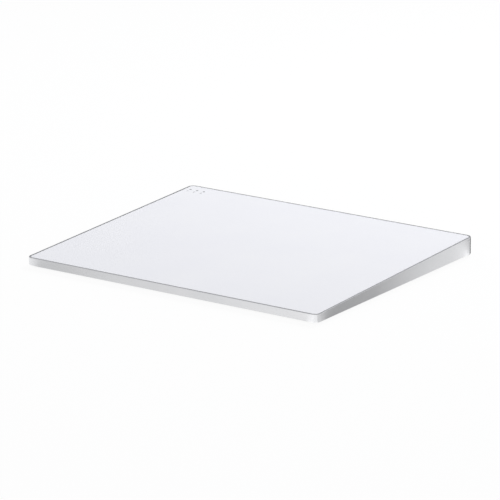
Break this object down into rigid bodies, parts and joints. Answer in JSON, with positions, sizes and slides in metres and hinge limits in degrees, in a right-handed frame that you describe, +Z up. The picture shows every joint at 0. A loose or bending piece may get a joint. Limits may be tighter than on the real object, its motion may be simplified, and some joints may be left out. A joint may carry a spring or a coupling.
{
  "type": "trackpad",
  "caption": "Wedge-shaped desktop trackpad with a hinged glass touch plate that clicks, in a slim aluminium body on rubber feet.",
  "frame": {"origin": "on the desk, under the middle of the body", "axes": "+X to the right, +Y to the back, where the body is tallest, +Z up"},
  "size_m": [0.16, 0.13, 0.0095],
  "materials": {
    "anodised_aluminium": "bead-blasted and anodised",
    "white_glass": "satin, printed white from behind",
    "clear_film": "adhesive film",
    "circuit_board": "solder mask",
    "steel_sheet": "rolled",
    "black_epoxy": "moulded",
    "lamp_package": "moulded",
    "clear_acrylic": "clear",
    "switch_plastic": "moulded",
    "plunger_nylon": "moulded",
    "spring_steel": "rolled",
    "connector_plastic": "moulded",
    "zinc_steel": "zinc plated",
    "moulded_cover": "fine moulded texture",
    "foot_rubber": "matt",
    "antenna_ceramic": "fired",
    "plated_steel": "nickel plated",
    "connector_black": "moulded",
    "knob_plastic": "fine moulded texture",
    "pouch_foil": "laminated foil",
    "lead_jacket": "silicone jacket",
    "ribbon_film": "laminated film"
  },
  "bodies": {
    "base": {"housing": "anodised_aluminium", "left_hinge_spring": "spring_steel", "right_hinge_spring": "spring_steel", "spring_screws": "zinc_steel", "bottom_cover": "moulded_cover", "cover_screws": "zinc_steel", "front_left_foot": "foot_rubber", "front_right_foot": "foot_rubber", "rear_left_foot": "foot_rubber", "rear_right_foot": "foot_rubber", "stop_screw": "zinc_steel", "stop_pads": "foot_rubber", "main_board": "circuit_board", "board_screws": "zinc_steel", "main_chips": "black_epoxy", "radio_chip": "black_epoxy", "radio_shield": "steel_sheet", "antenna": "antenna_ceramic", "usb_shell": "plated_steel", "usb_tongue": "connector_black", "power_switch": "steel_sheet", "press_switch": "switch_plastic", "battery": "pouch_foil", "battery_tape": "clear_film", "battery_circuit": "circuit_board", "battery_socket": "connector_plastic", "battery_plug": "connector_plastic", "battery_leads": "lead_jacket", "ribbon_socket": "connector_plastic", "sensor_ribbon": "ribbon_film"},
    "plate": {"touch_glass": "white_glass", "glass_adhesive": "clear_film", "sensor_board": "circuit_board", "carrier_plate": "steel_sheet", "touch_chips": "black_epoxy", "indicator_lamps": "lamp_package", "light_guides": "clear_acrylic", "click_switch": "switch_plastic", "click_dome": "spring_steel", "sensor_socket": "connector_plastic", "hinge_rivets": "zinc_steel"},
    "plunger": {"click_plunger": "plunger_nylon"},
    "slider": {"power_slider": "knob_plastic"},
    "button": {"channel_button": "knob_plastic", "press_stem": "plunger_nylon"}
  },
  "joints": [
    {"name": "plate_hinge", "type": "hinge", "parent": "base", "child": "plate", "pos_m": [0, 0.05724, 0.00695], "axis": [1, 0, 0], "range_deg": [0, 0.165], "stiffness_Nm_per_rad": 50, "springref_deg": -0.11},
    {"name": "plunger_slide", "type": "slide", "parent": "plate", "child": "plunger", "axis": [0, -0.0354, 0.9994], "range_m": [0, 0.00033], "deforming": ["click_dome"]},
    {"name": "power_slide", "type": "slide", "parent": "base", "child": "slider", "axis": [1, 0, 0], "range_m": [0, 0.002]},
    {"name": "button_press", "type": "slide", "parent": "base", "child": "button", "axis": [0, 0, 1], "range_m": [0, 0.0003], "stiffness_N_per_m": 2000, "springref_m": -0.0001}
  ],
  "couplings": [
    {"joint": "plunger_slide", "follows": "plate_hinge", "m_per_rad": 0.10922}
  ]
}
